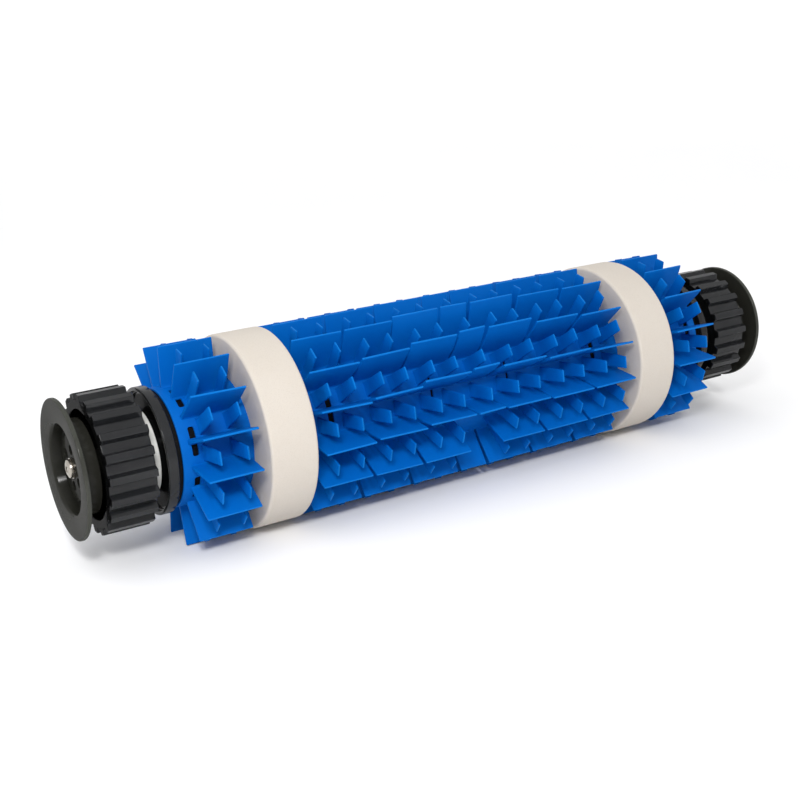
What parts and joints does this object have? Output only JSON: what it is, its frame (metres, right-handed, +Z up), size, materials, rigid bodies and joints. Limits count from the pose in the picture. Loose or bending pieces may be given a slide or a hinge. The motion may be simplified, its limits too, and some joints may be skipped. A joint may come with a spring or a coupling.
{
  "type": "pool cleaner brush",
  "caption": "Brush roller for a robotic pool cleaner: a flapped blue sleeve and foam rings on a tube, with toothed wheels and dished end flanges, turning on a fixed axle.",
  "frame": {"origin": "on the axle at mid length of the roller", "axes": "+X along the axle, from the left end to the right; +Z up as the roller lies on its flaps; -Y is the front"},
  "size_m": [0.4, 0.0945, 0.0944],
  "materials": {
    "blue_vinyl": "satin soft vinyl",
    "cream_foam": "fine open-cell foam",
    "dark_plastic": "satin moulded",
    "flange_plastic": "smooth moulded",
    "tube_plastic": "extruded",
    "white_nylon": "moulded",
    "stainless_steel": "turned and polished"
  },
  "bodies": {
    "axle_set": {"axle_rod": "stainless_steel", "end_flange_left": "flange_plastic", "end_flange_right": "flange_plastic", "flange_screw_left": "stainless_steel", "flange_screw_right": "stainless_steel", "flange_washer_left": "stainless_steel", "flange_washer_right": "stainless_steel", "thrust_washer_left": "stainless_steel", "thrust_washer_right": "stainless_steel"},
    "roller": {"roller_tube": "tube_plastic", "brush_sleeve": "blue_vinyl", "foam_ring_left": "cream_foam", "foam_ring_right": "cream_foam", "end_hub_left": "dark_plastic", "end_hub_right": "dark_plastic", "bearing_bush_left": "white_nylon", "bearing_bush_right": "white_nylon", "track_wheel_left": "dark_plastic", "track_wheel_right": "dark_plastic", "wheel_screws_left": "stainless_steel", "wheel_screws_right": "stainless_steel"}
  },
  "joints": [
    {"name": "roller_spin", "type": "hinge", "parent": "axle_set", "child": "roller", "pos_m": [0, 0, 0], "axis": [1, 0, 0], "continuous": true}
  ]
}
